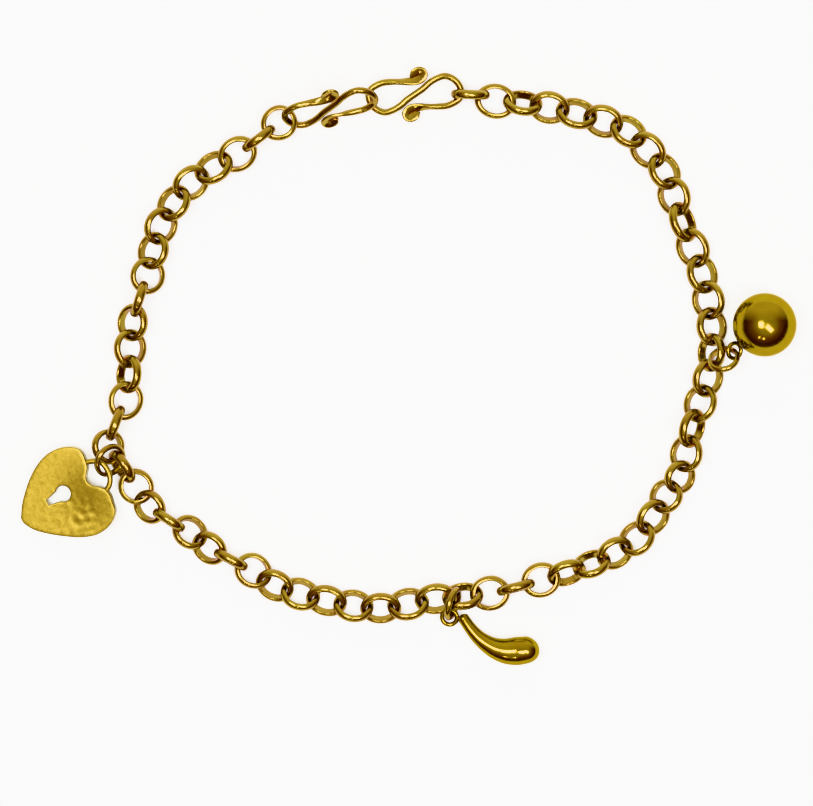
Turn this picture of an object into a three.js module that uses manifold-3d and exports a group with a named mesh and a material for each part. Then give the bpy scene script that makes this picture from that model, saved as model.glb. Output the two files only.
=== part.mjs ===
// Charm bracelet of yellow gold, lying flat: a belcher chain closed by two S-shaped hooks, with a padlock
// heart, a ball and a bean on jump rings. Millimetres, +Z up, the bracelet rests on z = 0.
import * as THREE from "three";
import { mergeVertices } from "three/addons/utils/BufferGeometryUtils.js";
import Module from "manifold-3d";

const wasm = await Module();
wasm.setup();

// Chain link: a ring that is flat inside and rounded outside.
const LINK_DIAMETER = 3.8;
const LINK_THICKNESS = 0.5; // from the inside to the outside of the ring
const LINK_WIDTH = 1.0; // along the ring's axis
const LINK_SIDES = 12;
const SOLDER_DEPTH = 0.15; // links of one run sink this far into each other where they touch
const RUN_GAP = 0.22; // between the two runs where they meet
const SAG = 0.3; // how far a link hangs below the line between its neighbours
const LAST_LINK_OF_RIGHT_RUN = 31;

// Jump rings: the link's form in a narrower wire.
const JUMP_RING_THICKNESS = 0.42;
const JUMP_RING_WIDTH = 0.7;

// Clasp hook: an S of round wire with flattened, curled ends.
const HOOK_WIRE = 0.67;
const HOOK_REACH = 5.0; // from the middle to the centreline of a bend
const HOOK_RISE = 1.86; // height of a bend's crest over the middle
const HOOK_TIP_WIDTH = 0.95; // of the flattened end
const HOOK_TIP_THICKNESS = 0.36;
const HOOK_TIP_FLARE = 38; // degrees that the curled end opens upwards
const HOOK_STEPS = 60;

// Padlock heart.
const HEART_WIDTH = 10.0;
const HEART_HEIGHT = 9.7;
const HEART_THICKNESS = 1.1;
const KEYHOLE_DIAMETER = 1.7;
const KEYHOLE_SLOT = 2.0; // from the round end's centre to the slot's foot
const KEYHOLE_SLOT_WIDTH = 0.6;
const KEYHOLE_OFFSET = -0.35; // to the left of the heart's axis
const SHACKLE_WIRE = 0.6;

// Ball.
const BALL_DIAMETER = 6.8;
const BALL_EYE_DIAMETER = 2.1;
const BALL_EYE_WIRE = 0.46;

// Bean.
const BEAN_LENGTH = 9.0;
const BEAN_BOW = 1.9;
const BEAN_DIAMETER = 3.05;
const BEAN_EYE_DIAMETER = 2.1;
const BEAN_EYE_WIRE = 0.5;

const SOLDER_SINK = 0.2; // how far a soldered eye sinks into its charm

// The chain's route, clockwise from the right hook: centres of chosen links, with the rest spaced between.
const ROUTE = [
  { link: 1, x: 6.4, y: 28.9 },
  { link: 2, x: 9.3, y: 28.2 },
  { link: 3, x: 12.2, y: 28.0 },
  { link: 5, x: 17.9, y: 26.9 },
  { link: 7, x: 23.4, y: 25.0 },
  { link: 8, x: 25.5, y: 23.0 },
  { link: 9, x: 27.3, y: 20.7 },
  { link: 11, x: 29.2, y: 15.3 },
  { link: 13, x: 31.3, y: 9.8 },
  { link: 15, x: 32.3, y: 4.2 },
  { link: 17, x: 31.9, y: -1.3 },
  { link: 19, x: 30.2, y: -6.6 },
  { link: 21, x: 28.9, y: -11.9 },
  { link: 22, x: 27.5, y: -13.8 },
  { link: 24, x: 24.3, y: -18.4 },
  { link: 26, x: 19.5, y: -21.1 },
  { link: 28, x: 14.1, y: -22.8 },
  { link: 30, x: 8.7, y: -24.2 },
  { link: 32, x: 2.9, y: -24.8 },
  { link: 34, x: -3.0, y: -25.8 },
  { link: 36, x: -8.7, y: -25.0 },
  { link: 38, x: -14.2, y: -23.4 },
  { link: 39, x: -16.6, y: -21.8 },
  { link: 41, x: -21.2, y: -19.4 },
  { link: 42, x: -23.3, y: -17.7 },
  { link: 44, x: -27.6, y: -15.0 },
  { link: 45, x: -29.0, y: -12.9 },
  { link: 46, x: -30.5, y: -10.7 },
  { link: 47, x: -32.0, y: -8.5 },
  { link: 49, x: -30.1, y: -3.6 },
  { link: 52, x: -29.4, y: 4.6 },
  { link: 54, x: -27.8, y: 9.6 },
  { link: 56, x: -26.4, y: 14.9 },
  { link: 58, x: -23.2, y: 19.5 },
  { link: 60, x: -18.2, y: 22.6 },
  { link: 62, x: -13.7, y: 25.9 },
];

// How each link lies, in order: F flat, f nearly flat, i and o leaning with the side inside or outside the loop
// raised, I and O leaning more, S steep and E on edge.
const LAY = "EFIoioioioIoioiOioIoioioiOIFEFO" + "ioioioifEioEiFSoEfIoiEfioioifEF";
const LEAN = { F: 4, f: -14, i: 33, o: -30, I: 50, O: -50, S: 72, E: 86 };

// Where each hook's middle lies, a hook's reach from the link that it holds, and how the hook is turned: roll
// about its length, pitch, then bearing.
const [FIRST_LINK, LAST_LINK] = [ROUTE[0], ROUTE.at(-1)];
const RIGHT_HOOK = {
  x: FIRST_LINK.x - HOOK_REACH - 0.72,
  y: FIRST_LINK.y + 0.03,
  z: 1.7,
  roll: 8.3,
  pitch: -0.2,
  bearing: 1.4,
};
const LEFT_HOOK = {
  x: LAST_LINK.x + HOOK_REACH + 0.35,
  y: LAST_LINK.y + 1.53,
  z: 2.63,
  roll: 51.9,
  pitch: -5.9,
  bearing: 10.9,
};
// The bearings at which the first and the last link hang on their hooks.
const FIRST_HANGS = -2;
const LAST_HANGS = 30;

const GOLD = { color: 0xb08d1e, roughness: 0.2, metalness: 1 };
const SATIN_GOLD = { color: 0xb8962a, roughness: 0.42, metalness: 1 };

const UP = new THREE.Vector3(0, 0, 1);

// A closed geometry as a solid to join or cut.
function solid(geometry) {
  const bare = geometry.clone();
  bare.deleteAttribute("normal");
  bare.deleteAttribute("uv");
  const merged = mergeVertices(bare, 1e-4);
  return new wasm.Manifold(
    new wasm.Mesh({
      numProp: 3,
      vertProperties: merged.attributes.position.array,
      triVerts: new Uint32Array(merged.index.array),
    }),
  );
}

function geometryOf(body) {
  const { vertProperties, triVerts } = body.getMesh();
  const geometry = new THREE.BufferGeometry();
  geometry.setAttribute("position", new THREE.BufferAttribute(vertProperties, 3));
  geometry.setIndex(new THREE.BufferAttribute(triVerts, 1));
  return geometry.toNonIndexed();
}

// The pieces as one body. The specks of air that two crossing faces shut in count as metal.
function joined(bodies) {
  const [outside] = bodies
    .reduce((sum, body) => sum.add(body))
    .simplify(0.01)
    .decompose()
    .sort((a, b) => b.volume() - a.volume());
  return outside;
}

function piece(name, geometry, look) {
  geometry.computeVertexNormals();
  const mesh = new THREE.Mesh(geometry, new THREE.MeshStandardMaterial(look));
  mesh.name = name;
  return mesh;
}

// The section of a link's wire: flat towards the hole, rounded outwards. Radius first, then along the axis.
function linkSection(diameter, thickness, width) {
  const inner = diameter / 2 - thickness;
  return [
    [inner, -width / 2],
    [inner + 0.6 * thickness, -0.4 * width],
    [inner + thickness, 0],
    [inner + 0.6 * thickness, 0.4 * width],
    [inner, width / 2],
  ];
}

// A ring of that section round Z. Its front half (+X) and back half can be drawn out a little.
function ring(diameter, thickness, width, front = 1, back = 1) {
  const section = linkSection(diameter, thickness, width).map(([r, a]) => new THREE.Vector2(r, a));
  const geometry = new THREE.LatheGeometry([...section, section[0]], LINK_SIDES);
  geometry.rotateY(Math.PI / LINK_SIDES).rotateX(Math.PI / 2);
  const p = geometry.getAttribute("position");
  for (let i = 0; i < p.count; i++) p.setX(i, p.getX(i) * (p.getX(i) > 0 ? front : back));
  return geometry;
}

// A bar bent along a curve that lies in the XY plane, both ends closed. shapeAt gives, for a share of the
// length, the bar's width in the plane, its height out of it and how far the section leans outwards.
function bentBar(curve, sides, steps, shapeAt) {
  const section = new THREE.Shape();
  for (let i = 0; i < sides; i++) {
    const a = (2 * Math.PI * (i + 0.5)) / sides;
    section[i ? "lineTo" : "moveTo"](Math.cos(a) / 2, Math.sin(a) / 2);
  }
  section.closePath();
  const geometry = new THREE.ExtrudeGeometry(section, { depth: 1, steps, bevelEnabled: false });
  const p = geometry.getAttribute("position");
  for (let i = 0; i < p.count; i++) {
    const share = THREE.MathUtils.clamp(p.getZ(i), 0, 1);
    const { width, height, lean = 0 } = shapeAt(share);
    const side = new THREE.Vector3().crossVectors(UP, curve.getTangentAt(share));
    const across = p.getX(i) * width;
    const above = p.getY(i) * height;
    const at = curve
      .getPointAt(share)
      .addScaledVector(side, across * Math.cos(lean) - above * Math.sin(lean))
      .addScaledVector(UP, across * Math.sin(lean) + above * Math.cos(lean));
    p.setXYZ(i, at.x, at.y, at.z);
  }
  return geometry;
}

const smooth = (points) => new THREE.CatmullRomCurve3(points, false, "centripetal");

const degrees = THREE.MathUtils.degToRad;

// Chain

// How high a ring's centre stands when it rests on z = 0 with this lean.
function restHeight(lean) {
  const reach = linkSection(LINK_DIAMETER, LINK_THICKNESS, LINK_WIDTH).map(
    ([r, a]) => r * Math.abs(Math.sin(lean)) + a * Math.abs(Math.cos(lean)),
  );
  return Math.max(...reach);
}

function layLinks() {
  const route = smooth(ROUTE.map(({ x, y }) => new THREE.Vector3(x, y, 0)));
  const links = [];
  for (let n = 1; n <= LAY.length; n++) {
    const i = ROUTE.findIndex((point, k) => k + 1 === ROUTE.length - 1 || ROUTE[k + 1].link > n);
    const share = (n - ROUTE[i].link) / (ROUTE[i + 1].link - ROUTE[i].link);
    const lean = degrees(LEAN[LAY[n - 1]]);
    const centre = route.getPoint((i + share) / (ROUTE.length - 1));
    links.push({ centre, lean, rest: restHeight(lean) });
  }
  for (const link of links) link.centre.z = link.rest;
  for (let pass = 0; pass < 40; pass++)
    links.forEach(({ centre, rest }, i) => {
      const before = links[Math.max(i - 1, 0)].centre.z;
      const after = i + 1 < links.length ? links[i + 1].centre.z : LEFT_HOOK.z;
      centre.z = Math.max(rest, (before + after) / 2 - SAG);
    });
  links.forEach((link, i) => {
    const before = (links[i - 1] ?? link).centre;
    const after = (links[i + 1] ?? link).centre;
    const along = new THREE.Vector3().subVectors(after, before).normalize();
    const hangs = { 0: FIRST_HANGS, [links.length - 1]: LAST_HANGS }[i];
    if (hangs !== undefined) along.set(Math.cos(degrees(hangs)), Math.sin(degrees(hangs)), 0);
    const inwards = new THREE.Vector3().crossVectors(along, UP).normalize();
    const top = new THREE.Vector3().crossVectors(inwards, along);
    const axis = top.multiplyScalar(Math.cos(link.lean)).addScaledVector(inwards, -Math.sin(link.lean));
    const across = new THREE.Vector3().crossVectors(axis, along);
    link.place = new THREE.Matrix4().makeBasis(along, across, axis).setPosition(link.centre);
  });
  return links;
}

// How much a half link is drawn out to meet the next link with this distance between their centres.
function drawnOut(distance, overlap) {
  const hole = LINK_DIAMETER / 2 - LINK_THICKNESS;
  return (distance - overlap) / 2 / Math.sqrt(hole ** 2 - (LINK_WIDTH / 2) ** 2);
}

const links = layLinks();

function run(first, last) {
  const bodies = [];
  for (let i = first - 1; i < last; i++) {
    const reach = (j) => {
      if (j < 0 || j >= links.length) return 1;
      const inRun = j >= first - 1 && j < last;
      return drawnOut(links[i].centre.distanceTo(links[j].centre), inRun ? SOLDER_DEPTH : -RUN_GAP);
    };
    const link = ring(LINK_DIAMETER, LINK_THICKNESS, LINK_WIDTH, reach(i + 1), reach(i - 1));
    bodies.push(solid(link.applyMatrix4(links[i].place)));
  }
  return geometryOf(joined(bodies));
}

// Clasp hooks

// Half of the S from its middle, as shares of HOOK_REACH and HOOK_RISE; the other half is its half turn.
const HOOK_PATH = [
  { along: 0, across: 0 },
  { along: 0.18, across: 0.32 },
  { along: 0.31, across: 0.62 },
  { along: 0.46, across: 0.86 },
  { along: 0.64, across: 1.0 },
  { along: 0.79, across: 0.88 },
  { along: 0.905, across: 0.62 },
  { along: 0.97, across: 0.3 },
  { along: 0.985, across: -0.02 },
  { along: 0.94, across: -0.33 },
  { along: 0.84, across: -0.53 },
  { along: 0.68, across: -0.7 },
  { along: 0.46, across: -0.74 },
  { along: 0.22, across: -0.735 },
  { along: 0.04, across: -0.76 },
  { along: -0.06, across: -0.8 },
  { along: -0.15, across: -0.92 },
  { along: -0.19, across: -1.11 },
  { along: -0.165, across: -1.28 },
  { along: -0.09, across: -1.33 },
  { along: 0, across: -1.215 },
  { along: 0.08, across: -1.07 },
];

function hook() {
  const half = HOOK_PATH.map(
    ({ along, across }) => new THREE.Vector3(along * HOOK_REACH, across * HOOK_RISE, 0),
  );
  const other = half.slice(1).map((p) => new THREE.Vector3(-p.x, -p.y, 0));
  const curve = smooth([...other.reverse(), ...half]);
  curve.arcLengthDivisions = 800;
  return bentBar(curve, 6, HOOK_STEPS, (share) => {
    const flat = THREE.MathUtils.smoothstep(Math.abs(share - 0.5), 0.3, 0.42);
    return {
      width: THREE.MathUtils.lerp(HOOK_WIRE, HOOK_TIP_THICKNESS, flat),
      height: THREE.MathUtils.lerp(HOOK_WIRE, HOOK_TIP_WIDTH, flat),
      lean: Math.sign(share - 0.5) * flat * degrees(HOOK_TIP_FLARE),
    };
  });
}

function place(mesh, { x, y, z, roll = 0, pitch = 0, bearing = 0 }) {
  mesh.position.set(x, y, z);
  mesh.rotation.set(degrees(roll), degrees(pitch), degrees(bearing), "ZYX");
  return mesh;
}

// Charms

// The heart stands upright in its own XY plane with its tip at the origin. Its outline is hand-cut, so the
// lobes differ: anticlockwise from the tip, as shares of half HEART_WIDTH and of HEART_HEIGHT.
const HEART_OUTLINE = [
  { across: 0.06, up: 0 },
  { across: 0.26, up: 0.055 },
  { across: 0.49, up: 0.17 },
  { across: 0.74, up: 0.335 },
  { across: 0.95, up: 0.51 },
  { across: 1.05, up: 0.67 },
  { across: 1.03, up: 0.81 },
  { across: 0.93, up: 0.92 },
  { across: 0.8, up: 0.98 },
  { across: 0.64, up: 1.0 },
  { across: 0.45, up: 1.02 },
  { across: 0.3, up: 1.01 },
  { across: 0.2, up: 0.97 },
  { across: 0.08, up: 0.9 },
  { across: -0.04, up: 0.875 },
  { across: -0.13, up: 0.885 },
  { across: -0.22, up: 0.925 },
  { across: -0.32, up: 0.96 },
  { across: -0.45, up: 0.975 },
  { across: -0.6, up: 0.985 },
  { across: -0.74, up: 0.965 },
  { across: -0.85, up: 0.9 },
  { across: -0.94, up: 0.8 },
  { across: -0.975, up: 0.68 },
  { across: -0.95, up: 0.57 },
  { across: -0.85, up: 0.437 },
  { across: -0.65, up: 0.278 },
  { across: -0.33, up: 0.1 },
  { across: -0.15, up: 0.03 },
  { across: -0.06, up: 0 },
];
const KEYHOLE_HEIGHT = 0.56; // share of HEART_HEIGHT at the keyhole's round end

// The shackle's arch over the notch, as shares of the same sizes.
const SHACKLE_PATH = [
  { across: -0.42, up: 0.93 },
  { across: -0.34, up: 1.04 },
  { across: -0.21, up: 1.11 },
  { across: -0.04, up: 1.125 },
  { across: 0.12, up: 1.11 },
  { across: 0.26, up: 1.06 },
  { across: 0.36, up: 0.97 },
];

function heart() {
  const plate = new THREE.Shape(
    HEART_OUTLINE.map(({ across, up }) => new THREE.Vector2((across * HEART_WIDTH) / 2, up * HEART_HEIGHT)),
  );
  const keyhole = new THREE.Path();
  const centre = new THREE.Vector2(KEYHOLE_OFFSET, KEYHOLE_HEIGHT * HEART_HEIGHT);
  const fromCentre = (x, y) => new THREE.Vector2(x, y).add(centre);
  const rim = [];
  for (let i = 0; i <= 10; i++) {
    const a = degrees(-55 + 29 * i);
    rim.push(fromCentre((KEYHOLE_DIAMETER / 2) * Math.cos(a), (KEYHOLE_DIAMETER / 2) * Math.sin(a)));
  }
  rim.push(fromCentre(-KEYHOLE_SLOT_WIDTH / 2, -KEYHOLE_SLOT), fromCentre(KEYHOLE_SLOT_WIDTH / 2, -KEYHOLE_SLOT));
  keyhole.setFromPoints([...rim, rim[0]]);
  plate.holes.push(keyhole);
  const slab = new THREE.ExtrudeGeometry(plate, { depth: HEART_THICKNESS, steps: 1, bevelEnabled: false });
  slab.translate(0, 0, -HEART_THICKNESS / 2);
  const arch = smooth(
    SHACKLE_PATH.map(({ across, up }) => new THREE.Vector3((across * HEART_WIDTH) / 2, up * HEART_HEIGHT, 0)),
  );
  const shackle = bentBar(arch, 6, 10, () => ({ width: SHACKLE_WIRE, height: SHACKLE_WIRE }));
  return geometryOf(joined([solid(slab), solid(shackle)]));
}

// A soldered wire eye round Z.
const eye = (diameter, wire) => new THREE.TorusGeometry((diameter - wire) / 2, wire / 2, 6, 12);

// A matrix that sets a ring or eye down at x, y, z with its axis leaning from upright towards a bearing.
function setDown({ x, y, z, lean, bearing }) {
  const axis = new THREE.Vector3(
    Math.sin(degrees(lean)) * Math.cos(degrees(bearing)),
    Math.sin(degrees(lean)) * Math.sin(degrees(bearing)),
    Math.cos(degrees(lean)),
  );
  const turn = new THREE.Quaternion().setFromUnitVectors(UP, axis);
  return new THREE.Matrix4().compose(new THREE.Vector3(x, y, z), turn, new THREE.Vector3(1, 1, 1));
}

// Where the charms lie: the ball's middle, the bean's neck and the heart's tip. The heart's notch is raised.
const BALL = { x: 37.8, y: 4.35 };
const BEAN = { x: 5.6, y: -26.5, bearing: -22.5 };
const HEART = { x: -41.1, y: -16.5, roll: 13, bearing: -60 };

// The ball's eye points to the chain and a little down. The bean's sits at the side of its neck.
const BALL_EYE = { bearing: 221, dip: 10, lean: 31, leanBearing: -13 };
const BEAN_EYE = { side: 215, lean: 14, bearing: -92 };

function ball() {
  const radius = BALL_DIAMETER / 2;
  const sphere = new THREE.SphereGeometry(radius, 20, 14).rotateX(Math.PI / 2);
  const reach = radius + BALL_EYE_DIAMETER / 2 - SOLDER_SINK;
  const out = reach * Math.cos(degrees(BALL_EYE.dip));
  const at = {
    x: out * Math.cos(degrees(BALL_EYE.bearing)),
    y: out * Math.sin(degrees(BALL_EYE.bearing)),
    z: -reach * Math.sin(degrees(BALL_EYE.dip)),
    lean: BALL_EYE.lean,
    bearing: BALL_EYE.leanBearing,
  };
  const loop = eye(BALL_EYE_DIAMETER, BALL_EYE_WIRE).applyMatrix4(setDown(at));
  return geometryOf(joined([solid(sphere), solid(loop)]));
}

// The bean from its neck to its round tip, as shares of BEAN_LENGTH, BEAN_BOW and BEAN_DIAMETER.
const BEAN_STATIONS = [
  { along: 0, bow: 0, girth: 0.4 },
  { along: 0.09, bow: 0.28, girth: 0.41 },
  { along: 0.19, bow: 0.57, girth: 0.45 },
  { along: 0.3, bow: 0.81, girth: 0.52 },
  { along: 0.42, bow: 0.96, girth: 0.63 },
  { along: 0.54, bow: 1.0, girth: 0.77 },
  { along: 0.66, bow: 0.91, girth: 0.91 },
  { along: 0.77, bow: 0.69, girth: 1.0 },
  { along: 0.87, bow: 0.42, girth: 0.95 },
  { along: 0.94, bow: 0.21, girth: 0.77 },
  { along: 0.98, bow: 0.08, girth: 0.5 },
  { along: 1.0, bow: 0, girth: 0.2 },
];

function bean() {
  const curve = smooth(
    BEAN_STATIONS.map(({ along, bow }) => new THREE.Vector3(along * BEAN_LENGTH, -bow * BEAN_BOW, 0)),
  );
  const last = BEAN_STATIONS.length - 1;
  const girthAt = (share) => {
    const along = curve.getPointAt(share).x / BEAN_LENGTH;
    const i = Math.min(BEAN_STATIONS.findLastIndex((s) => s.along <= along + 1e-6), last - 1);
    const [a, b] = [BEAN_STATIONS[Math.max(i, 0)], BEAN_STATIONS[Math.max(i, 0) + 1]];
    return THREE.MathUtils.mapLinear(along, a.along, b.along, a.girth, b.girth);
  };
  const body = bentBar(curve, 12, 18, (share) => {
    const girth = girthAt(share) * BEAN_DIAMETER;
    return { width: girth, height: girth };
  });
  const neck = (BEAN_STATIONS[0].girth * BEAN_DIAMETER) / 2;
  const reach = neck + BEAN_EYE_DIAMETER / 2 - 2 * SOLDER_SINK;
  const away = new THREE.Vector3(Math.cos(degrees(BEAN_EYE.side)), Math.sin(degrees(BEAN_EYE.side)), 0);
  away.multiplyScalar(reach);
  const loop = eye(BEAN_EYE_DIAMETER, BEAN_EYE_WIRE).applyMatrix4(
    setDown({ x: away.x, y: away.y, z: away.z, lean: BEAN_EYE.lean, bearing: BEAN_EYE.bearing }),
  );
  return geometryOf(joined([solid(body), solid(loop)]));
}

// Jump rings: outside diameter, middle and the way the axis leans.
const JUMP_RINGS = [
  { name: "heart_jump_ring", diameter: 3.8, x: -31.71, y: -10.04, z: 2.86, lean: 43.4, bearing: -34 },
  { name: "ball_jump_ring", diameter: 3.5, x: 33.49, y: 0.71, z: 2.88, lean: 44.2, bearing: 110.8 },
  { name: "bean_jump_ring", diameter: 3.7, x: 4.72, y: -25.28, z: 1.94, lean: 74.2, bearing: -16.6 },
];

// Group

const bracelet = new THREE.Group();
bracelet.name = "charm_bracelet";
bracelet.add(
  piece("chain_right", run(1, LAST_LINK_OF_RIGHT_RUN), GOLD),
  piece("chain_left", run(LAST_LINK_OF_RIGHT_RUN + 1, LAY.length), GOLD),
  place(piece("s_hook_right", hook(), GOLD), RIGHT_HOOK),
  place(piece("s_hook_left", hook(), GOLD), LEFT_HOOK),
  place(piece("heart_charm", heart(), SATIN_GOLD), {
    ...HEART,
    z: (HEART_THICKNESS / 2) * Math.cos(degrees(HEART.roll)),
  }),
  place(piece("ball_charm", ball(), GOLD), { ...BALL, z: BALL_DIAMETER / 2 }),
  place(piece("bean_charm", bean(), GOLD), { ...BEAN, z: BEAN_DIAMETER / 2 }),
);
for (const { name, diameter, ...pose } of JUMP_RINGS)
  bracelet.add(
    piece(name, ring(diameter, JUMP_RING_THICKNESS, JUMP_RING_WIDTH).applyMatrix4(setDown(pose)), GOLD),
  );

// The origin lies under the middle of the bracelet, on the surface that it rests on.
const box = new THREE.Box3().setFromObject(bracelet, true);
const middle = box.getCenter(new THREE.Vector3());
bracelet.position.set(-middle.x, -middle.y, -box.min.z);

export default bracelet;
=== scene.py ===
import math

import bpy
from mathutils import Matrix, Vector, geometry, noise


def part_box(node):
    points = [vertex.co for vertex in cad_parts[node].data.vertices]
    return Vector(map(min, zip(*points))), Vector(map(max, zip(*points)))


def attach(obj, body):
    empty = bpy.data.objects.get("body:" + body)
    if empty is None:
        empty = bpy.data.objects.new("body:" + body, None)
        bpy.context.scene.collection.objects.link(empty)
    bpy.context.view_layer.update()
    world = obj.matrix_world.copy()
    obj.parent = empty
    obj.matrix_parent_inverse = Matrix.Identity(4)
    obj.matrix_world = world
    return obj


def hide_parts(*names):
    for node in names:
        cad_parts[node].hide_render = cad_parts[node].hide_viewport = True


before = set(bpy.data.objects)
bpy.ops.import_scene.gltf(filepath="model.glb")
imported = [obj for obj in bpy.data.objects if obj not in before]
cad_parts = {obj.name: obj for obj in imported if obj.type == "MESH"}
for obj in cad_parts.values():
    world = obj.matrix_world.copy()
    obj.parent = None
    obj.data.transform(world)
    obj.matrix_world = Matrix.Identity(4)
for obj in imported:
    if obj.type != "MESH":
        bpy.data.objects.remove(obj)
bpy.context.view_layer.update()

MM = 0.001
UP = Vector((0, 0, 1))

# All wire is drawn a little fuller than the solids', as the photograph shows it.
# Chain link: flat inside, rounded outside.
LINK_DIAMETER = 3.8
LINK_THICKNESS = 0.56
LINK_WIDTH = 1.0
LINK_SIDES = 56
RUN_GAP = 0.22  # between the two runs of chain
SAG = 0.3  # how far a link may hang below the line between its neighbours
SETTLING_ROUNDS = 40
LAST_LINK_OF_RIGHT_RUN = 31
TOUCH = 0.03  # links press this far into each other where they bear

JUMP_RING_THICKNESS = 0.46
JUMP_RING_WIDTH = 0.7

HOOK_WIRE = 0.73
HOOK_REACH = 5.0
HOOK_RISE = 1.86
HOOK_TIP_WIDTH = 1.0
HOOK_TIP_THICKNESS = 0.36
HOOK_TIP_FLARE = 70  # degrees that the curled end opens upwards
HOOK_END = 0.022  # share of the length in which the flattened end rounds off
HOOK_STEPS = 420
HOOK_SIDES = 28

HEART_WIDTH = 10.0
HEART_HEIGHT = 9.7
HEART_THICKNESS = 1.1
HEART_EDGE = 0.13  # rounding of the plate's edge
HEART_STEPS = 150  # points of the plate's outline
HEART_GRID = 0.2  # spacing of the points of its face
HEART_GRID_MARGIN = 0.14  # and how near they come to the outline
KEYHOLE_DIAMETER = 1.7
KEYHOLE_SLOT = 2.0
KEYHOLE_SLOT_WIDTH = 0.6
KEYHOLE_OFFSET = -0.35
KEYHOLE_HEIGHT = 0.56  # share of the heart's height at the keyhole's round end
SHACKLE_WIRE = 0.6
SHACKLE_STEPS = 40
SHACKLE_SIDES = 16

BALL_DIAMETER = 6.8
BALL_EYE_DIAMETER = 2.1
BALL_EYE_WIRE = 0.46
BALL_STEPS = 64  # from pole to pole
BALL_SIDES = 96

BEAN_LENGTH = 9.0
BEAN_BOW = 1.9
BEAN_DIAMETER = 3.05
BEAN_EYE_DIAMETER = 2.1
BEAN_EYE_WIRE = 0.5
BEAN_STEPS = 400
BEAN_SIDES = 40

SOLDER_SINK = 0.2  # how far soldered pieces go into each other
EYE_STEPS = 48
EYE_SIDES = 16
CURVE_STEPS = 2000

# Chosen links of the route, clockwise from the right hook: number, x, y.
ROUTE = [
    (1, 6.4, 28.9), (2, 9.3, 28.2), (3, 12.2, 28.0), (5, 17.9, 26.9), (7, 23.4, 25.0), (8, 25.5, 23.0),
    (9, 27.3, 20.7), (11, 29.2, 15.3), (13, 31.3, 9.8), (15, 32.3, 4.2), (17, 31.9, -1.3), (19, 30.2, -6.6),
    (21, 28.9, -11.9), (22, 27.5, -13.8), (24, 24.3, -18.4), (26, 19.5, -21.1), (28, 14.1, -22.8),
    (30, 8.7, -24.2), (32, 2.9, -24.8), (34, -3.0, -25.8), (36, -8.7, -25.0), (38, -14.2, -23.4),
    (39, -16.6, -21.8), (41, -21.2, -19.4), (42, -23.3, -17.7), (44, -27.6, -15.0), (45, -29.0, -12.9),
    (46, -30.5, -10.7), (47, -32.0, -8.5), (49, -30.1, -3.6), (52, -29.4, 4.6), (54, -27.8, 9.6),
    (56, -26.4, 14.9), (58, -23.2, 19.5), (60, -18.2, 22.6), (62, -13.7, 25.9),
]
# How each link lies: F flat, f nearly flat, i and o leaning, I and O leaning more, S steep, E on edge.
LAY = "EFIoioioioIoioiOioIoioioiOIFEFO" + "ioioioifEioEiFSoEfIoiEfioioifEF"
LEAN = {"F": 4, "f": -14, "i": 33, "o": -30, "I": 50, "O": -50, "S": 72, "E": 86}

FIRST_HANGS, LAST_HANGS = -2, 30  # bearings of the two end links

RIGHT_HOOK = {"at": (0.68, 28.93, 1.7), "roll": 8.3, "pitch": -0.2, "bearing": 1.4}
LEFT_HOOK = {"at": (-8.35, 27.43, 2.63), "roll": 51.9, "pitch": -5.9, "bearing": 10.9}
HEART = {"at": (-41.1, -16.5), "roll": 13, "bearing": -60}
BALL = (37.8, 4.35)
BEAN = {"at": (5.6, -26.5), "bearing": -22.5}
BALL_EYE = {"bearing": 221, "dip": 10, "lean": 31, "lean_bearing": -13}
BEAN_EYE = {"side": 215, "lean": 14, "bearing": -92}
# Name, outside diameter, middle, lean of the axis and its bearing.
JUMP_RINGS = [
    ("heart_jump_ring", 3.8, (-31.71, -10.04, 2.86), 43.4, -34.0),
    ("ball_jump_ring", 3.5, (33.49, 0.71, 2.88), 44.2, 110.8),
    ("bean_jump_ring", 3.7, (4.72, -25.28, 1.94), 74.2, -16.6),
]

# The source centres the bracelet under its box, so the ball's solid tells how far everything moved.
ball_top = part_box("ball_charm")[1] / MM
MOVED = ball_top - Vector((BALL[0] + BALL_DIAMETER / 2, BALL[1] + BALL_DIAMETER / 2, BALL_DIAMETER))


# Curves


def on_curve(points, share):
    """A point of the smooth curve through the points, at a share of the way counted in points."""
    last = len(points) - 1
    i = min(int(share * last), last - 1)
    w = share * last - i
    p1, p2 = points[i], points[i + 1]
    p0 = points[i - 1] if i else p1 * 2 - p2
    p3 = points[i + 2] if i + 2 <= last else p2 * 2 - p1
    d0, d1, d2 = (max(math.sqrt((b - a).length), 1e-4) for a, b in ((p0, p1), (p1, p2), (p2, p3)))
    t1 = ((p1 - p0) / d0 - (p2 - p0) / (d0 + d1) + (p2 - p1) / d1) * d1
    t2 = ((p2 - p1) / d1 - (p3 - p1) / (d1 + d2) + (p3 - p2) / d2) * d1
    return (
        p1
        + t1 * w
        + (p2 * 3 - p1 * 3 - t1 * 2 - t2) * w**2
        + (p1 * 2 - p2 * 2 + t1 + t2) * w**3
    )


def evenly(points, steps):
    """The smooth curve through the points as evenly spaced points."""
    fine = [on_curve(points, i / CURVE_STEPS) for i in range(CURVE_STEPS + 1)]
    lengths = [0.0]
    for a, b in zip(fine, fine[1:]):
        lengths.append(lengths[-1] + (b - a).length)
    spaced, k = [], 0
    for i in range(steps + 1):
        goal = lengths[-1] * i / steps
        while k < len(fine) - 2 and lengths[k + 1] < goal:
            k += 1
        w = (goal - lengths[k]) / (lengths[k + 1] - lengths[k])
        spaced.append(fine[k].lerp(fine[k + 1], min(max(w, 0.0), 1.0)))
    return spaced


def smoothstep(x, low, high):
    x = min(max((x - low) / (high - low), 0.0), 1.0)
    return x * x * (3 - 2 * x)


# Surfaces: each is a list of points and a list of faces.


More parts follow.
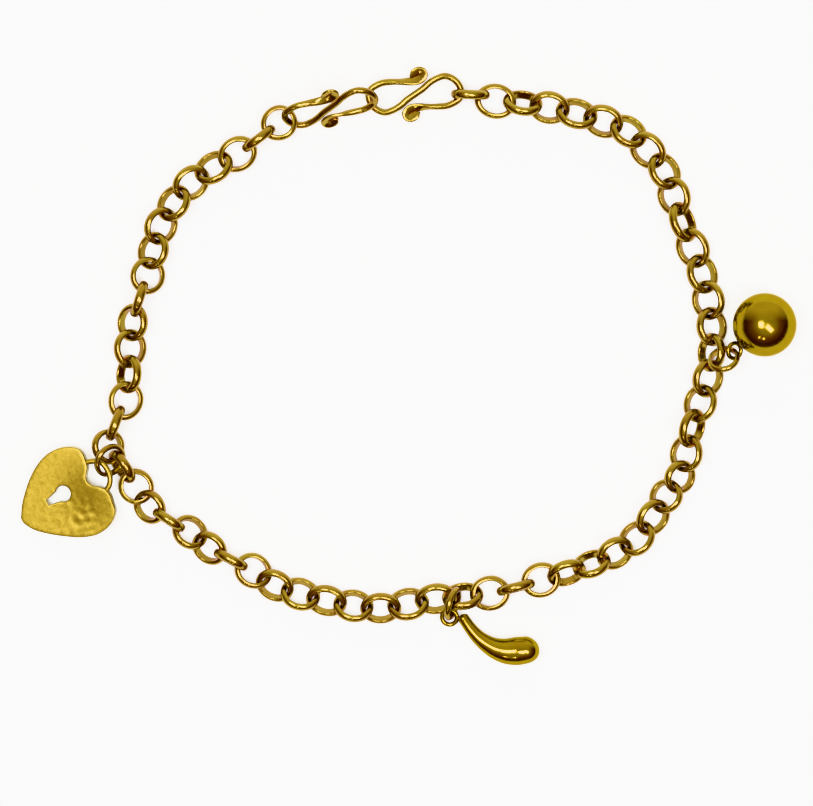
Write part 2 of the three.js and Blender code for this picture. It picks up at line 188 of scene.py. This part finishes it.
def skin(rows, closed=False):
    """Quads between rows of points, each row a closed section. Open ends get a face each."""
    n = len(rows[0])
    faces = []
    for r in range(len(rows) if closed else len(rows) - 1):
        a, b = r * n, (r + 1) % len(rows) * n
        faces += [(a + i, b + i, b + (i + 1) % n, a + (i + 1) % n) for i in range(n)]
    if not closed:
        faces.append(tuple(range(n)))
        faces.append(tuple(reversed(range((len(rows) - 1) * n, len(rows) * n))))
    return [p for row in rows for p in row], faces


def turned(surface, matrix):
    points, faces = surface
    return [matrix @ p for p in points], faces


def wire_section(diameter, thickness, width):
    """The section of a link's wire, from the middle of its inside round and back: radius, then height."""
    inner = diameter / 2 - thickness
    half = [(0.0, 0.0), (0.0, 0.55), (0.005, 0.8), (0.04, 0.93), (0.13, 1.0), (0.32, 0.995), (0.5, 0.95)]
    half += [(0.67, 0.85), (0.82, 0.68), (0.93, 0.46), (0.985, 0.22)]
    one = [(inner + t * thickness, a * width / 2) for t, a in half]
    return one + [(inner + thickness, 0.0)] + [(r, -a) for r, a in reversed(one[1:])]


def wire_ring(diameter, thickness, width, front=1.0, back=1.0):
    """A closed ring of that wire round Z. Its front and back halves can be drawn out."""
    section = wire_section(diameter, thickness, width)
    rows = []
    for i in range(LINK_SIDES):
        a = 2 * math.pi * (i + 0.5) / LINK_SIDES
        draw = front if math.cos(a) > 0 else back
        rows.append([Vector((r * math.cos(a) * draw, r * math.sin(a), h)) for r, h in section])
    return skin(rows, closed=True)


def bar(path, sides, shape_at):
    """A bar bent along a path that lies flat, with rounded ends. shape_at gives its width in the plane, its
    height out of the plane and the lean of the section at a share of the length."""
    count = len(path) - 1
    rows = []
    for i, p in enumerate(path):
        along = (path[min(i + 1, count)] - path[max(i - 1, 0)]).normalized()
        side = UP.cross(along)
        width, height, lean = shape_at(i / count)
        for end, sign in ((i == 0, -1), (i == count, 1)):
            if end:
                rounding = min(width, height) / 2
                caps = [(math.cos(a), math.sin(a)) for a in (0, 0.5, 0.95, 1.3, 1.5)]
                if sign < 0:
                    caps.reverse()
                for shrink, out in caps:
                    q = p + along * (sign * rounding * out)
                    rows.append(section_at(q, side, width * shrink, height * shrink, lean, sides))
        if 0 < i < count:
            rows.append(section_at(p, side, width, height, lean, sides))
    return skin(rows)


def section_at(p, side, width, height, lean, sides):
    """A rounded section: round where width and height agree, a strip with full edges where they don't."""
    squareness = 1.0 - 0.35 * min(abs(height / width - 1.0), 1.0)
    ring = []
    for k in range(sides):
        a = 2 * math.pi * (k + 0.5) / sides
        across = math.copysign(abs(math.cos(a)) ** squareness, math.cos(a)) * width / 2
        above = math.copysign(abs(math.sin(a)) ** squareness, math.sin(a)) * height / 2
        ring.append(
            p
            + side * (across * math.cos(lean) - above * math.sin(lean))
            + UP * (across * math.sin(lean) + above * math.cos(lean))
        )
    return ring


def wire_eye(diameter, wire):
    """A soldered eye of round wire round Z."""
    rows = []
    for i in range(EYE_STEPS):
        a = 2 * math.pi * i / EYE_STEPS
        out = Vector((math.cos(a), math.sin(a), 0))
        rows.append(
            [
                out * ((diameter - wire) / 2 + wire / 2 * math.cos(b)) + UP * (wire / 2 * math.sin(b))
                for b in (2 * math.pi * k / EYE_SIDES for k in range(EYE_SIDES))
            ]
        )
    return skin(rows, closed=True)


def set_down(at, lean, bearing):
    """A matrix that leans an upright axis towards a bearing and moves it to a place."""
    lean, bearing = math.radians(lean), math.radians(bearing)
    axis = Vector((math.sin(lean) * math.cos(bearing), math.sin(lean) * math.sin(bearing), math.cos(lean)))
    return Matrix.Translation(at) @ UP.rotation_difference(axis).to_matrix().to_4x4()


def laid(at, roll=0, pitch=0, bearing=0):
    """A matrix that rolls, pitches and bears a piece, then moves it to its place."""
    turn = Matrix.Rotation(math.radians(bearing), 4, "Z") @ Matrix.Rotation(math.radians(pitch), 4, "Y")
    return Matrix.Translation(at) @ turn @ Matrix.Rotation(math.radians(roll), 4, "X")


def finish_piece(name, surfaces, material):
    """One object of the surfaces, in metres and in the solids' frame. It stands for the node of its name."""
    points, faces = [], []
    for part_points, part_faces in surfaces:
        faces += [tuple(i + len(points) for i in f) for f in part_faces]
        points += [(p + MOVED) * MM for p in part_points]
    mesh = bpy.data.meshes.new(name)
    mesh.from_pydata(points, [], faces)
    mesh.validate()
    mesh.polygons.foreach_set("use_smooth", [True] * len(mesh.polygons))
    mesh.materials.append(material)
    piece = bpy.data.objects.new(name + "_gold", mesh)
    bpy.context.scene.collection.objects.link(piece)
    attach(piece, "root")
    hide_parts(name)
    return piece


# Finishes


def linear(hex_colour):
    """An sRGB hex value as a linear colour."""
    rgb = [int(hex_colour[i : i + 2], 16) / 255 for i in (0, 2, 4)]
    return [c / 12.92 if c <= 0.04045 else ((c + 0.055) / 1.055) ** 2.4 for c in rgb] + [1.0]


def add(tree, kind, settings=None, links=None):
    """Adds a node with its settings, which are properties or socket values, and the links to its inputs."""
    made = tree.nodes.new(kind)
    for key, value in (settings or {}).items():
        if isinstance(key, int) or key in made.inputs:
            made.inputs[key].default_value = value
        else:
            setattr(made, key, value)
    for key, source in (links or {}).items():
        tree.links.new(source, made.inputs[key])
    return made


def new_material(name):
    material = bpy.data.materials.new(name)
    material.use_nodes = True
    return material, material.node_tree, material.node_tree.nodes["Principled BSDF"]


def per_mm(size):
    """The noise scale that gives features of this size in millimetres on an object in metres."""
    return 1 / (size * MM)


def worn_wire_gold():
    """Yellow gold drawn to wire, bent, soldered and worn smooth by rubbing: a soft shine that spreads the
    light along the wire, a little uneven where the wire was pinched and soldered. Red-brown painted shade
    darkens the corners where the links bear on each other."""
    material, tree, shader = new_material("worn_drawn_wire_yellow_gold")
    place = add(tree, "ShaderNodeTexCoord").outputs["Object"]
    alloy = add(tree, "ShaderNodeTexNoise", {"Scale": per_mm(2.4), "Detail": 1.0}, {"Vector": place})
    colour = add(tree, "ShaderNodeValToRGB", {}, {0: alloy.outputs["Fac"]})
    colour.color_ramp.elements[0].position = 0.34
    colour.color_ramp.elements[0].color = linear("826820")
    colour.color_ramp.elements[1].position = 0.66
    colour.color_ramp.elements[1].color = linear("8A7727")
    # Painted shade: where ambient occlusion finds links bearing on each other, the base colour turns red-brown
    # (965A2C).
    shade_occlusion = add(tree, "ShaderNodeAmbientOcclusion", {"samples": 8, "Distance": 0.7 * MM})
    painted_shade_mask = add(
        tree,
        "ShaderNodeMapRange",
        {"From Min": 0.35, "From Max": 0.85},
        {"Value": shade_occlusion.outputs["AO"]},
    )
    wire_gold_with_painted_shade = add(
        tree,
        "ShaderNodeMix",
        {"data_type": "RGBA", 6: linear("965A2C")},
        {0: painted_shade_mask.outputs["Result"], 7: colour.outputs["Color"]},
    )
    wear = add(tree, "ShaderNodeTexNoise", {"Scale": per_mm(2.0), "Detail": 1.0}, {"Vector": place})
    rough = add(
        tree,
        "ShaderNodeMapRange",
        {"From Min": 0.3, "From Max": 0.7, "To Min": 0.11, "To Max": 0.18},
        {"Value": wear.outputs["Fac"]},
    )
    waves = add(tree, "ShaderNodeTexNoise", {"Scale": per_mm(3.2), "Detail": 0.0}, {"Vector": place})
    bump = add(
        tree,
        "ShaderNodeBump",
        {"Strength": 0.3, "Distance": 0.08 * MM},
        {"Height": waves.outputs["Fac"]},
    )
    tree.links.new(wire_gold_with_painted_shade.outputs[2], shader.inputs["Base Color"])
    tree.links.new(rough.outputs["Result"], shader.inputs["Roughness"])
    tree.links.new(bump.outputs["Normal"], shader.inputs["Normal"])
    shader.inputs["Metallic"].default_value = 1.0
    shader.inputs["Specular Tint"].default_value = linear("CFA468")
    shader.inputs["Coat Weight"].default_value = 0.5
    shader.inputs["Coat Roughness"].default_value = 0.12
    return material


def mirror_polished_gold():
    """Yellow gold, cast or pressed and polished to a mirror: it shows the room and the card as clear shapes,
    barely bent by the last marks of the polishing cloth."""
    material, tree, shader = new_material("mirror_polished_yellow_gold")
    place = add(tree, "ShaderNodeTexCoord").outputs["Object"]
    film = add(tree, "ShaderNodeTexNoise", {"Scale": per_mm(1.2), "Detail": 5.0}, {"Vector": place})
    colour = add(tree, "ShaderNodeValToRGB", {}, {0: film.outputs["Fac"]})
    colour.color_ramp.elements[0].position = 0.3
    colour.color_ramp.elements[0].color = linear("7C641A")
    colour.color_ramp.elements[1].position = 0.7
    colour.color_ramp.elements[1].color = linear("826F1E")
    rough = add(
        tree,
        "ShaderNodeMapRange",
        {"From Min": 0.35, "From Max": 0.7, "To Min": 0.11, "To Max": 0.17},
        {"Value": film.outputs["Fac"]},
    )
    waves = add(tree, "ShaderNodeTexNoise", {"Scale": per_mm(2.6), "Detail": 1.0}, {"Vector": place})
    bump = add(
        tree,
        "ShaderNodeBump",
        {"Strength": 0.5, "Distance": 0.11 * MM},
        {"Height": waves.outputs["Fac"]},
    )
    tree.links.new(colour.outputs["Color"], shader.inputs["Base Color"])
    tree.links.new(rough.outputs["Result"], shader.inputs["Roughness"])
    tree.links.new(bump.outputs["Normal"], shader.inputs["Normal"])
    shader.inputs["Metallic"].default_value = 1.0
    shader.inputs["Specular Tint"].default_value = linear("D8CA80")
    shader.inputs["Coat Weight"].default_value = 0.12
    shader.inputs["Coat Roughness"].default_value = 0.05
    return material


def satin_sheet_gold():
    """Yellow gold sheet, rolled, pierced and rubbed satin: a soft even glow with a fine grain and the faint
    wrinkles and scuffs of wear."""
    material, tree, shader = new_material("satin_rolled_sheet_yellow_gold")
    place = add(tree, "ShaderNodeTexCoord").outputs["Object"]
    grain = add(
        tree, "ShaderNodeTexNoise", {"Scale": per_mm(0.3), "Detail": 4.0, "Roughness": 0.6}, {"Vector": place}
    )
    colour = add(tree, "ShaderNodeValToRGB", {}, {0: grain.outputs["Fac"]})
    colour.color_ramp.elements[0].position = 0.3
    colour.color_ramp.elements[0].color = linear("89741F")
    colour.color_ramp.elements[1].position = 0.7
    colour.color_ramp.elements[1].color = linear("9B8530")
    rough = add(
        tree,
        "ShaderNodeMapRange",
        {"From Min": 0.3, "From Max": 0.7, "To Min": 0.3, "To Max": 0.38},
        {"Value": grain.outputs["Fac"]},
    )
    scuffs = add(
        tree,
        "ShaderNodeTexNoise",
        {"Scale": per_mm(0.8), "Detail": 3.0, "Distortion": 1.2},
        {"Vector": place},
    )
    bump = add(
        tree,
        "ShaderNodeBump",
        {"Strength": 0.3, "Distance": 0.03 * MM},
        {"Height": scuffs.outputs["Fac"]},
    )
    tree.links.new(colour.outputs["Color"], shader.inputs["Base Color"])
    tree.links.new(rough.outputs["Result"], shader.inputs["Roughness"])
    tree.links.new(bump.outputs["Normal"], shader.inputs["Normal"])
    shader.inputs["Metallic"].default_value = 1.0
    shader.inputs["Coat Weight"].default_value = 0.45
    shader.inputs["Coat Roughness"].default_value = 0.3
    return material


WIRE_GOLD = worn_wire_gold()
MIRROR_GOLD = mirror_polished_gold()
SATIN_GOLD = satin_sheet_gold()


# Chain


def rest_height(lean):
    """How high a link's centre stands when it rests on the surface with this lean."""
    inner = LINK_DIAMETER / 2 - LINK_THICKNESS
    corners = [
        (inner, LINK_WIDTH / 2),
        (inner + 0.6 * LINK_THICKNESS, 0.4 * LINK_WIDTH),
        (inner + LINK_THICKNESS, 0),
    ]
    return max(r * abs(math.sin(lean)) + a * abs(math.cos(lean)) for r, a in corners)


def lay_links():
    """Each link's centre and the matrix that lays it, as in the source."""
    knots = [Vector((x, y, 0)) for _, x, y in ROUTE]
    centres, leans, rests = [], [], []
    for n, letter in enumerate(LAY, start=1):
        i = next((k for k in range(len(ROUTE) - 2) if ROUTE[k + 1][0] > n), len(ROUTE) - 2)
        share = (n - ROUTE[i][0]) / (ROUTE[i + 1][0] - ROUTE[i][0])
        leans.append(math.radians(LEAN[letter]))
        rests.append(rest_height(leans[-1]))
        centres.append(on_curve(knots, (i + share) / (len(ROUTE) - 1)))
        centres[-1].z = rests[-1]
    last = len(centres) - 1
    for _ in range(SETTLING_ROUNDS):
        for i, centre in enumerate(centres):
            before = centres[max(i - 1, 0)].z
            after = centres[i + 1].z if i < last else LEFT_HOOK["at"][2]
            centre.z = max(rests[i], (before + after) / 2 - SAG)
    places = []
    for i, centre in enumerate(centres):
        along = (centres[min(i + 1, last)] - centres[max(i - 1, 0)]).normalized()
        if i in (0, last):
            hangs = math.radians(FIRST_HANGS if i == 0 else LAST_HANGS)
            along = Vector((math.cos(hangs), math.sin(hangs), 0))
        inwards = along.cross(UP).normalized()
        top = inwards.cross(along)
        axis = top * math.cos(leans[i]) - inwards * math.sin(leans[i])
        across = axis.cross(along)
        turn = Matrix((along, across, axis)).transposed().to_4x4()
        places.append(Matrix.Translation(centre) @ turn)
    return centres, places


def drawn_out(distance, overlap):
    """How much a half link is drawn out to meet the next link at this distance between centres."""
    hole = LINK_DIAMETER / 2 - LINK_THICKNESS
    return (distance - overlap) / 2 / math.sqrt(hole**2 - (LINK_WIDTH / 2) ** 2)


def chain(name, first, last):
    centres, places = LINKS
    surfaces = []
    for i in range(first - 1, last):
        draw = []
        for j in (i + 1, i - 1):
            if 0 <= j < len(centres):
                gap = TOUCH if first - 1 <= j < last else -RUN_GAP / 4
                draw.append(drawn_out((centres[i] - centres[j]).length, gap))
            else:
                draw.append(1.0)
        surfaces.append(turned(wire_ring(LINK_DIAMETER, LINK_THICKNESS, LINK_WIDTH, *draw), places[i]))
    return finish_piece(name, surfaces, WIRE_GOLD)


LINKS = lay_links()
chain("chain_right", 1, LAST_LINK_OF_RIGHT_RUN)
chain("chain_left", LAST_LINK_OF_RIGHT_RUN + 1, len(LAY))


# Clasp hooks

# Half of the S from its middle, as shares of HOOK_REACH and HOOK_RISE.
HOOK_PATH = [
    (0, 0), (0.18, 0.32), (0.31, 0.62), (0.46, 0.86), (0.64, 1.0), (0.79, 0.88), (0.905, 0.62),
    (0.97, 0.3), (0.985, -0.02), (0.94, -0.33), (0.84, -0.53), (0.68, -0.7), (0.46, -0.74),
    (0.22, -0.735), (0.04, -0.76), (-0.06, -0.8), (-0.15, -0.92), (-0.19, -1.11), (-0.165, -1.28),
    (-0.09, -1.33), (0, -1.215), (0.08, -1.07),
]


def hook(name, where):
    half = [Vector((x * HOOK_REACH, y * HOOK_RISE, 0)) for x, y in HOOK_PATH]
    path = evenly([-p for p in reversed(half[1:])] + half, HOOK_STEPS)

    def shape_at(share):
        flat = smoothstep(abs(share - 0.5), 0.3, 0.42)
        width = HOOK_WIRE + (HOOK_TIP_THICKNESS - HOOK_WIRE) * flat
        height = HOOK_WIRE + (HOOK_TIP_WIDTH - HOOK_WIRE) * flat
        height *= math.sqrt(max(1 - max(1 - min(share, 1 - share) / HOOK_END, 0) ** 2, 0.1))
        return width, height, math.copysign(flat * math.radians(HOOK_TIP_FLARE), share - 0.5)

    lie = laid(where["at"], where["roll"], where["pitch"], where["bearing"])
    return finish_piece(name, [turned(bar(path, HOOK_SIDES, shape_at), lie)], WIRE_GOLD)


hook("s_hook_right", RIGHT_HOOK)
hook("s_hook_left", LEFT_HOOK)


# Heart

# Hand-cut, so the lobes differ: anticlockwise from the tip, as shares of half the width and of the height.
HEART_OUTLINE = [
    (0.06, 0), (0.26, 0.055), (0.49, 0.17), (0.74, 0.335), (0.95, 0.51), (1.05, 0.67), (1.03, 0.81),
    (0.93, 0.92), (0.8, 0.98), (0.64, 1.0), (0.45, 1.02), (0.3, 1.01), (0.2, 0.97), (0.08, 0.9),
    (-0.04, 0.875), (-0.13, 0.885), (-0.22, 0.925), (-0.32, 0.96), (-0.45, 0.975), (-0.6, 0.985),
    (-0.74, 0.965), (-0.85, 0.9), (-0.94, 0.8), (-0.975, 0.68), (-0.95, 0.57), (-0.85, 0.437),
    (-0.65, 0.278), (-0.33, 0.1), (-0.15, 0.03), (-0.06, 0),
]
SHACKLE_PATH = [
    (-0.42, 0.93), (-0.34, 1.04), (-0.21, 1.11), (-0.04, 1.125), (0.12, 1.11), (0.26, 1.06), (0.36, 0.97),
]


def pulled_in(loop, amount):
    """The loop moved to its left by an amount, which is inwards where it runs anticlockwise."""
    moved = []
    for i, p in enumerate(loop):
        along = (loop[(i + 1) % len(loop)] - loop[i - 1]).normalized()
        moved.append(p + Vector((-along.y, along.x)) * amount)
    return moved


def heart_loops():
    """The plate's outline, anticlockwise, and the keyhole's, clockwise."""
    knots = [Vector((x * HEART_WIDTH / 2, y * HEART_HEIGHT, 0)) for x, y in HEART_OUTLINE]
    outline = [p.to_2d() for p in evenly(knots + knots[:1], HEART_STEPS)[:-1]]
    centre = Vector((KEYHOLE_OFFSET, KEYHOLE_HEIGHT * HEART_HEIGHT))
    keyhole = []
    for i in range(25):
        a = math.radians(-48 + 276 / 24 * i)
        keyhole.append(centre + Vector((math.cos(a), math.sin(a))) * (KEYHOLE_DIAMETER / 2))
    keyhole += [centre + Vector((side * KEYHOLE_SLOT_WIDTH / 2, -KEYHOLE_SLOT)) for side in (-1, 1)]
    return outline, list(reversed(keyhole))


def within(loop, p):
    """Whether a point of the plane lies inside the loop."""
    crossings = 0
    for a, b in zip(loop, loop[1:] + loop[:1]):
        if (a.y > p.y) != (b.y > p.y):
            crossings += p.x < a.x + (b.x - a.x) * (p.y - a.y) / (b.y - a.y)
    return crossings % 2 == 1


def swell(x, y, reach):
    """A round swelling, one high in the middle and gone a few reaches away."""
    return math.exp(-(x * x + y * y) / (2 * reach * reach))


def plate_relief(x, y):
    """The plate's face is not quite true: bent up a little beside the notch, where the shackle pulls, and
    wrinkled below it."""
    bend = 0.34 * swell(x - 0.8, y - 9.9, 2.1) - 0.014 * (y - 4.5)
    wrinkles = noise.noise(Vector((x * 1.5 + y * 0.6, y * 1.2 - x * 0.5, 9.0)))
    return bend + wrinkles * (0.008 + 0.05 * swell(x - 2.6, y - 6.2, 1.2)) - 0.1


def heart():
    loops = heart_loops()
    rounding = [(1 - math.cos(a), math.sin(a)) for a in (math.radians(d) for d in (0, 22, 45, 68, 90))]
    half = HEART_THICKNESS / 2
    points, faces, rims = [], [], []
    for loop in loops:
        upper, lower = (
            [(HEART_EDGE * pull, side * (half - HEART_EDGE + HEART_EDGE * rise)) for pull, rise in rounding]
            for side in (1, -1)
        )
        order = upper[::-1] + lower
        start = len(points)
        for pull, height in order:
            for q in pulled_in(loop, pull):
                lift = plate_relief(q.x, q.y) if height > 0 else 0.0
                points.append(Vector((q.x, q.y, height + lift)))
        n = len(loop)
        for r in range(len(order) - 1):
            a, b = start + r * n, start + (r + 1) * n
            faces += [(a + i, b + i, b + (i + 1) % n, a + (i + 1) % n) for i in range(n)]
        rims.append((start, start + (len(order) - 1) * n, n))
    for top in (True, False):
        flat, edges, known = [], [], []
        for start, end, n in rims:
            first = len(flat)
            base = start if top else end
            known += [base + i for i in range(n)]
            flat += [points[base + i].to_2d() for i in range(n)]
            edges += [(first + i, first + (i + 1) % n) for i in range(n)]
        if top:
            step = HEART_GRID
            for i in range(int(HEART_WIDTH / step) + 1):
                for j in range(int(HEART_HEIGHT / step) + 1):
                    q = Vector((-HEART_WIDTH / 2 + (i + 0.5 * (j % 2)) * step, j * step))
                    if min((q - p).length for p in flat[: len(known)]) > HEART_GRID_MARGIN:
                        flat.append(q)
        corners, _, triangles, origin, _, _ = geometry.delaunay_2d_cdt(flat, edges, [], 1, 1e-6)
        hole = flat[rims[0][2] : rims[0][2] + rims[1][2]]
        middles = [sum((corners[k] for k in face), Vector((0, 0))) / 3 for face in triangles]
        triangles = [face for face, middle in zip(triangles, middles) if not within(hole, middle)]
        index = {}
        for k in sorted({k for face in triangles for k in face}):
            sources = origin[k]
            if sources and min(sources) < len(known):
                index[k] = known[min(sources)]
            else:
                index[k] = len(points)
                z = half + plate_relief(*corners[k]) if top else -half
                points.append(Vector((corners[k].x, corners[k].y, z)))
        for face in triangles:
            ring = [index[k] for k in face]
            faces.append(tuple(ring if top else reversed(ring)))
    arch = evenly([Vector((x * HEART_WIDTH / 2, y * HEART_HEIGHT, 0)) for x, y in SHACKLE_PATH], SHACKLE_STEPS)
    shackle = bar(arch, SHACKLE_SIDES, lambda share: (SHACKLE_WIRE, SHACKLE_WIRE, 0.0))
    height = half * math.cos(math.radians(HEART["roll"]))
    lie = laid((*HEART["at"], height), HEART["roll"], 0, HEART["bearing"])
    surfaces = [turned((points, faces), lie), turned(shackle, lie)]
    return finish_piece("heart_charm", surfaces, SATIN_GOLD)


heart()


# Ball and bean


def ball():
    radius = BALL_DIAMETER / 2
    rows = []
    for j in range(1, BALL_STEPS):
        a = math.pi * j / BALL_STEPS
        rows.append(
            [
                Vector((math.cos(b) * math.sin(a), math.sin(b) * math.sin(a), math.cos(a))) * radius
                for b in (2 * math.pi * k / BALL_SIDES for k in range(BALL_SIDES))
            ]
        )
    points, faces = skin(rows)
    reach = radius + BALL_EYE_DIAMETER / 2 - SOLDER_SINK
    dip, bearing = math.radians(BALL_EYE["dip"]), math.radians(BALL_EYE["bearing"])
    out = Vector((math.cos(bearing) * math.cos(dip), math.sin(bearing) * math.cos(dip), -math.sin(dip)))
    at = out * reach
    eye = turned(
        wire_eye(BALL_EYE_DIAMETER, BALL_EYE_WIRE), set_down(at, BALL_EYE["lean"], BALL_EYE["lean_bearing"])
    )
    lie = Matrix.Translation((*BALL, radius))
    return finish_piece(
        "ball_charm", [turned((points, faces), lie), turned(eye, lie)], MIRROR_GOLD
    )


# From the neck to the round tip: shares of the length, the bow and the diameter.
BEAN_STATIONS = [
    (0, 0, 0.4), (0.09, 0.28, 0.41), (0.19, 0.57, 0.45), (0.3, 0.81, 0.52), (0.42, 0.96, 0.63),
    (0.54, 1.0, 0.77), (0.66, 0.91, 0.91), (0.77, 0.69, 1.0), (0.87, 0.42, 0.96), (0.94, 0.21, 0.95), (1.0, 0, 0.95),
]
BEAN_TIP = 1.45  # length of the rounded tip
BEAN_NECK = 0.04  # share of the length in which the neck rounds off


def bean():
    stations = [Vector((x * BEAN_LENGTH, -y * BEAN_BOW, g * BEAN_DIAMETER)) for x, y, g in BEAN_STATIONS]
    spaced = evenly(stations, BEAN_STEPS)
    step = (spaced[1] - spaced[0]).length
    tip = 1 - BEAN_TIP / (BEAN_STEPS * step)
    shares = [tip * i / 90 for i in range(90)]
    shares += [tip + (1 - tip) * math.sin(i * math.pi / 40) for i in range(20)]
    rows = []
    for share in shares:
        i = int(share * BEAN_STEPS)
        p = spaced[i].lerp(spaced[i + 1], share * BEAN_STEPS - i)
        along = Vector((spaced[i + 1].x - spaced[i].x, spaced[i + 1].y - spaced[i].y, 0)).normalized()
        girth = p.z * math.sqrt(1 - max((share - tip) / (1 - tip), 0) ** 2)
        girth *= math.sqrt(max(1 - max(1 - share / BEAN_NECK, 0) ** 2, 0.06))
        rows.append(section_at(Vector((p.x, p.y, 0)), UP.cross(along), girth, girth, 0.0, BEAN_SIDES))
    body = skin(rows)
    neck = BEAN_STATIONS[0][2] * BEAN_DIAMETER / 2
    reach = neck + BEAN_EYE_DIAMETER / 2 - 2 * SOLDER_SINK
    side = math.radians(BEAN_EYE["side"])
    at = Vector((math.cos(side), math.sin(side), 0)) * reach
    eye = wire_eye(BEAN_EYE_DIAMETER, BEAN_EYE_WIRE)
    eye = turned(eye, set_down(at, BEAN_EYE["lean"], BEAN_EYE["bearing"]))
    lie = laid((*BEAN["at"], BEAN_DIAMETER / 2), bearing=BEAN["bearing"])
    return finish_piece("bean_charm", [turned(body, lie), turned(eye, lie)], MIRROR_GOLD)


ball()
bean()

for ring_name, across, middle, lean, bearing in JUMP_RINGS:
    ring = turned(wire_ring(across, JUMP_RING_THICKNESS, JUMP_RING_WIDTH), set_down(middle, lean, bearing))
    finish_piece(ring_name, [ring], WIRE_GOLD)


# Studio

CAMERA_HEIGHT = 500.0
FIELD = 86.6  # width of the view at the height of the links' tops
AIM = Vector((-0.213, -3.94, 0.0)) + MOVED


def white_paper():
    """Matte white card under the bracelet, thin enough to glow a little from the table's light below."""
    material, tree, shader = new_material("matte_white_card")
    shader.inputs["Base Color"].default_value = linear("E9EEF2")
    shader.inputs["Roughness"].default_value = 0.9
    shader.inputs["Emission Color"].default_value = linear("FCFDFF")
    shader.inputs["Emission Strength"].default_value = 0.4
    shader.inputs["Specular IOR Level"].default_value = 0.1
    return material


def floor():
    mesh = bpy.data.meshes.new("card")
    mesh.from_pydata([(-2, -2, 0), (2, -2, 0), (2, 2, 0), (-2, 2, 0)], [], [(0, 1, 2, 3)])
    mesh.materials.append(white_paper())
    card = bpy.data.objects.new("card", mesh)
    bpy.context.scene.collection.objects.link(card)


def panel(name, towards, size, power):
    """A soft light panel a metre away that faces the bracelet from a direction."""
    light = bpy.data.lights.new(name, "AREA")
    light.shape = "RECTANGLE"
    light.size, light.size_y = size
    light.energy = power
    lamp = bpy.data.objects.new(name, light)
    direction = Vector(towards).normalized()
    lamp.location = direction
    lamp.rotation_euler = direction.to_track_quat("Z", "Y").to_euler()
    bpy.context.scene.collection.objects.link(lamp)


def room():
    """A dim room over the card: light at the ceiling, dark at the walls, but for one pale wall."""
    world = bpy.data.worlds.new("dim_room")
    world.use_nodes = True
    tree = world.node_tree
    tree.nodes.clear()
    place = add(tree, "ShaderNodeTexCoord").outputs["Generated"]
    split = add(tree, "ShaderNodeSeparateXYZ", {}, {0: place})
    shade = add(tree, "ShaderNodeValToRGB", {}, {0: split.outputs["Z"]})
    shade.color_ramp.elements[0].position = 0.3
    shade.color_ramp.elements[0].color = (0.13, 0.03, 0.02, 1)
    shade.color_ramp.elements[1].position = 0.86
    shade.color_ramp.elements[1].color = (1.0, 0.95, 0.9, 1)
    shade.color_ramp.elements.new(0.62).color = (0.44, 0.19, 0.09, 1)
    wall = add(tree, "ShaderNodeMapRange", {"From Min": 0.22, "From Max": 0.8}, {"Value": split.outputs["Y"]})
    lit = add(
        tree,
        "ShaderNodeMix",
        {"data_type": "RGBA", 7: (1.75, 1.65, 1.45, 1)},
        {0: wall.outputs["Result"], 6: shade.outputs["Color"]},
    )
    back = add(tree, "ShaderNodeBackground", {"Strength": 1.0}, {"Color": lit.outputs[2]})
    add(tree, "ShaderNodeOutputWorld", {}, {"Surface": back.outputs["Background"]})
    bpy.context.scene.world = world


def camera():
    data = bpy.data.cameras.new("overhead")
    data.sensor_fit = "HORIZONTAL"
    data.sensor_width = 36.0
    data.lens = 36.0 * (CAMERA_HEIGHT - 1.5) / FIELD
    data.clip_start = 0.01
    eye = bpy.data.objects.new("overhead", data)
    eye.location = (AIM.x * MM, AIM.y * MM, CAMERA_HEIGHT * MM)
    bpy.context.scene.collection.objects.link(eye)
    bpy.context.scene.camera = eye


floor()
room()
camera()
bpy.context.scene.view_settings.view_transform = "Khronos PBR Neutral"
panel("window_left", (-0.24, 0.0, 0.97), (0.34, 0.28), 6.5)
panel("window_right", (0.24, -0.22, 0.94), (0.22, 0.46), 6.5)
panel("lamp_near", (-0.32, -0.72, 0.6), (0.07, 0.07), 0.3)
panel("lamp_far", (-0.08, -0.78, 0.6), (0.08, 0.08), 0.4)
